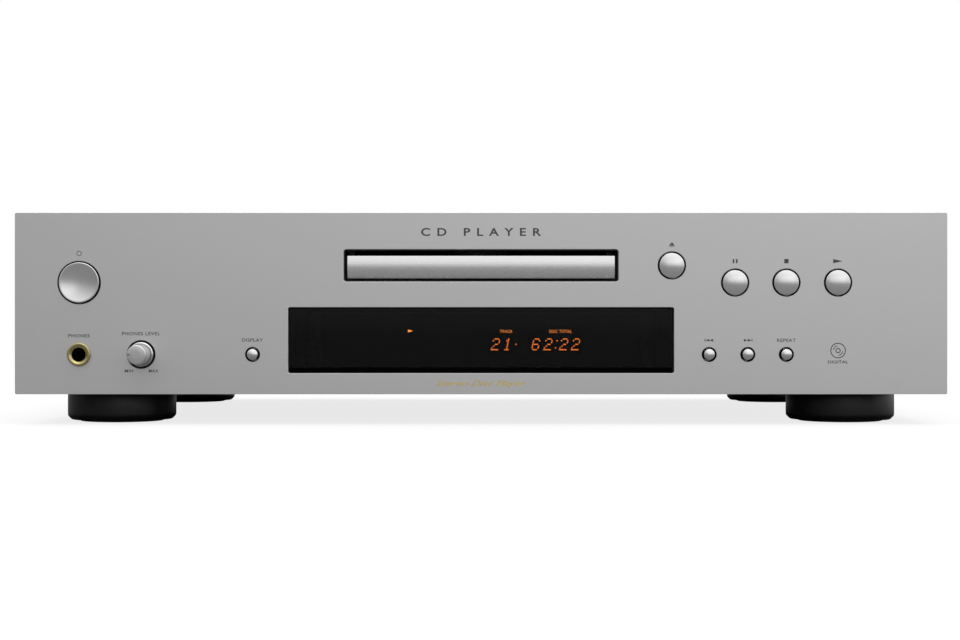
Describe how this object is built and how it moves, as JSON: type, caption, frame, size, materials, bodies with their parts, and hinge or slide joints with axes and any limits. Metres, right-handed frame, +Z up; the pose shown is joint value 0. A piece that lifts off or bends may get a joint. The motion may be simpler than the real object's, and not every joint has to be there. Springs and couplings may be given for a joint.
{
  "type": "cd player",
  "caption": "Full-width hi-fi disc player: flat metal panel, dark display window, sliding disc tray, round push buttons, level knob, folded cover and four round feet.",
  "frame": {"origin": "under the middle of the whole object, on the surface that the feet stand on", "axes": "+Z up; the front panel faces -Y; +X is to the right as seen from the front"},
  "size_m": [0.435, 0.307, 0.099],
  "materials": {
    "brushed_panel": "fine satin anodised aluminium, light grey",
    "button_metal": "smooth satin anodised aluminium",
    "tray_metal": "satin anodised aluminium bar",
    "gilt_metal": "gold-coloured polished ring",
    "smoked_pane": "smoked gloss acrylic",
    "black_plastic": "black moulded plastic",
    "tray_plastic": "black moulded plastic, fine grain",
    "grey_plastic": "dark grey moulded plastic",
    "white_plastic": "natural acetal",
    "foot_plastic": "black moulded foot",
    "rubber": "black rubber",
    "painted_steel": "silver-grey textured paint on folded sheet",
    "zinc_plate": "zinc-plated sheet",
    "motor_steel": "bright steel",
    "heatsink_metal": "extruded aluminium",
    "iron_core": "varnished laminations",
    "winding_tape": "yellow winding tape",
    "circuit_board": "green board with black parts",
    "display_glass": "dark display glass",
    "lens_glass": "coated lens",
    "socket_plastic": "black sockets with plated rims"
  },
  "bodies": {
    "root": {"front_panel": "brushed_panel", "front_frame": "black_plastic", "display_window": "smoked_pane", "chassis_base": "zinc_plate", "rear_panel": "painted_steel", "top_cover": "painted_steel", "phones_jack_nut": "gilt_metal", "phones_jack_body": "black_plastic", "front_circuit_board": "circuit_board", "level_potentiometer": "grey_plastic", "power_switch": "grey_plastic", "display_module": "display_glass", "loader_frame": "grey_plastic", "clamper_bridge": "zinc_plate", "drive_belt": "rubber", "loading_motor": "motor_steel", "power_transformer": "iron_core", "transformer_coil": "winding_tape", "main_circuit_board": "circuit_board", "power_supply_board": "circuit_board", "heatsink": "heatsink_metal", "ac_inlet": "black_plastic", "analog_output_jacks": "socket_plastic", "digital_output_jacks": "socket_plastic", "remote_jack": "black_plastic", "foot_front_left": "foot_plastic", "foot_pad_front_left": "rubber", "foot_front_right": "foot_plastic", "foot_pad_front_right": "rubber", "foot_rear_left": "foot_plastic", "foot_pad_rear_left": "rubber", "foot_rear_right": "foot_plastic", "foot_pad_rear_right": "rubber"},
    "tray": {"disc_tray": "tray_plastic", "tray_front_cap": "tray_metal"},
    "drive_gear": {"drive_gear": "white_plastic"},
    "pulley_gear": {"pulley_gear": "white_plastic"},
    "motor_pulley": {"motor_pulley": "white_plastic"},
    "cam": {"cam_slider": "white_plastic"},
    "traverse": {"traverse_chassis": "grey_plastic", "spindle_motor": "motor_steel", "guide_rod_left": "motor_steel", "guide_rod_right": "motor_steel", "sled_motor": "motor_steel"},
    "turntable": {"turntable_hub": "black_plastic"},
    "sled": {"pickup_sled": "black_plastic", "pickup_lens": "lens_glass"},
    "sled_gear": {"sled_gear": "white_plastic"},
    "sled_pinion": {"sled_pinion": "white_plastic"},
    "clamp_puck": {"clamp_puck": "white_plastic"},
    "power_button": {"power_button": "button_metal"},
    "eject_button": {"eject_button": "button_metal"},
    "pause_button": {"pause_button": "button_metal"},
    "stop_button": {"stop_button": "button_metal"},
    "play_button": {"play_button": "button_metal"},
    "display_button": {"display_button": "button_metal"},
    "previous_button": {"previous_button": "button_metal"},
    "next_button": {"next_button": "button_metal"},
    "repeat_button": {"repeat_button": "button_metal"},
    "phones_level_knob": {"phones_level_knob": "button_metal"}
  },
  "joints": [
    {"name": "tray_slide", "type": "slide", "parent": "root", "child": "tray", "axis": [0, -1, 0], "range_m": [0, 0.14]},
    {"name": "drive_gear_spin", "type": "hinge", "parent": "root", "child": "drive_gear", "pos_m": [-0.044, -0.1071, 0.0678], "axis": [0, 0, 1], "continuous": true},
    {"name": "pulley_gear_spin", "type": "hinge", "parent": "root", "child": "pulley_gear", "pos_m": [-0.024, -0.1071, 0.06415], "axis": [0, 0, 1], "continuous": true},
    {"name": "motor_pulley_spin", "type": "hinge", "parent": "root", "child": "motor_pulley", "pos_m": [0.014, -0.1071, 0.06], "axis": [0, 0, 1], "continuous": true},
    {"name": "cam_slide", "type": "slide", "parent": "root", "child": "cam", "axis": [1, 0, 0], "range_m": [0, 0.024]},
    {"name": "traverse_lift", "type": "hinge", "parent": "root", "child": "traverse", "pos_m": [0, 0.0399, 0.06], "axis": [-1, 0, 0], "range_deg": [0, 4.5]},
    {"name": "turntable_spin", "type": "hinge", "parent": "traverse", "child": "turntable", "pos_m": [0, -0.06404, 0.06787], "axis": [0, -0.0785, 0.9969], "continuous": true},
    {"name": "sled_slide", "type": "slide", "parent": "traverse", "child": "sled", "axis": [0, 0.9969, 0.0785], "range_m": [0, 0.035]},
    {"name": "sled_gear_spin", "type": "hinge", "parent": "traverse", "child": "sled_gear", "pos_m": [-0.0275, -0.01719, 0.05892], "axis": [0, -0.0785, 0.9969], "continuous": true},
    {"name": "sled_pinion_spin", "type": "hinge", "parent": "traverse", "child": "sled_pinion", "pos_m": [-0.0275, -0.00583, 0.05981], "axis": [0, -0.0785, 0.9969], "continuous": true},
    {"name": "clamp_puck_spin", "type": "hinge", "parent": "root", "child": "clamp_puck", "pos_m": [0, -0.0631, 0.086], "axis": [0, 0, 1], "continuous": true},
    {"name": "power_press", "type": "slide", "parent": "root", "child": "power_button", "axis": [0, 1, 0], "range_m": [0, 0.0025], "stiffness_N_per_m": 600, "springref_m": -0.001},
    {"name": "eject_press", "type": "slide", "parent": "root", "child": "eject_button", "axis": [0, 1, 0], "range_m": [0, 0.001], "stiffness_N_per_m": 900, "springref_m": -0.0004},
    {"name": "pause_press", "type": "slide", "parent": "root", "child": "pause_button", "axis": [0, 1, 0], "range_m": [0, 0.001], "stiffness_N_per_m": 900, "springref_m": -0.0004},
    {"name": "stop_press", "type": "slide", "parent": "root", "child": "stop_button", "axis": [0, 1, 0], "range_m": [0, 0.001], "stiffness_N_per_m": 900, "springref_m": -0.0004},
    {"name": "play_press", "type": "slide", "parent": "root", "child": "play_button", "axis": [0, 1, 0], "range_m": [0, 0.001], "stiffness_N_per_m": 900, "springref_m": -0.0004},
    {"name": "display_press", "type": "slide", "parent": "root", "child": "display_button", "axis": [0, 1, 0], "range_m": [0, 0.0008], "stiffness_N_per_m": 900, "springref_m": -0.00032},
    {"name": "previous_press", "type": "slide", "parent": "root", "child": "previous_button", "axis": [0, 1, 0], "range_m": [0, 0.0008], "stiffness_N_per_m": 900, "springref_m": -0.00032},
    {"name": "next_press", "type": "slide", "parent": "root", "child": "next_button", "axis": [0, 1, 0], "range_m": [0, 0.0008], "stiffness_N_per_m": 900, "springref_m": -0.00032},
    {"name": "repeat_press", "type": "slide", "parent": "root", "child": "repeat_button", "axis": [0, 1, 0], "range_m": [0, 0.0008], "stiffness_N_per_m": 900, "springref_m": -0.00032},
    {"name": "phones_level_turn", "type": "hinge", "parent": "root", "child": "phones_level_knob", "pos_m": [-0.1586, -0.1411, 0.0328], "axis": [0, 1, 0], "range_deg": [-60, 240]}
  ],
  "couplings": [
    {"joint": "drive_gear_spin", "follows": "tray_slide", "rad_per_m": 83.333},
    {"joint": "pulley_gear_spin", "follows": "tray_slide", "rad_per_m": -125},
    {"joint": "motor_pulley_spin", "follows": "tray_slide", "rad_per_m": -500},
    {"joint": "traverse_lift", "follows": "cam_slide", "rad_per_m": 3.2725},
    {"joint": "sled_gear_spin", "follows": "sled_slide", "rad_per_m": 166.67},
    {"joint": "sled_pinion_spin", "follows": "sled_slide", "rad_per_m": -466.67}
  ]
}
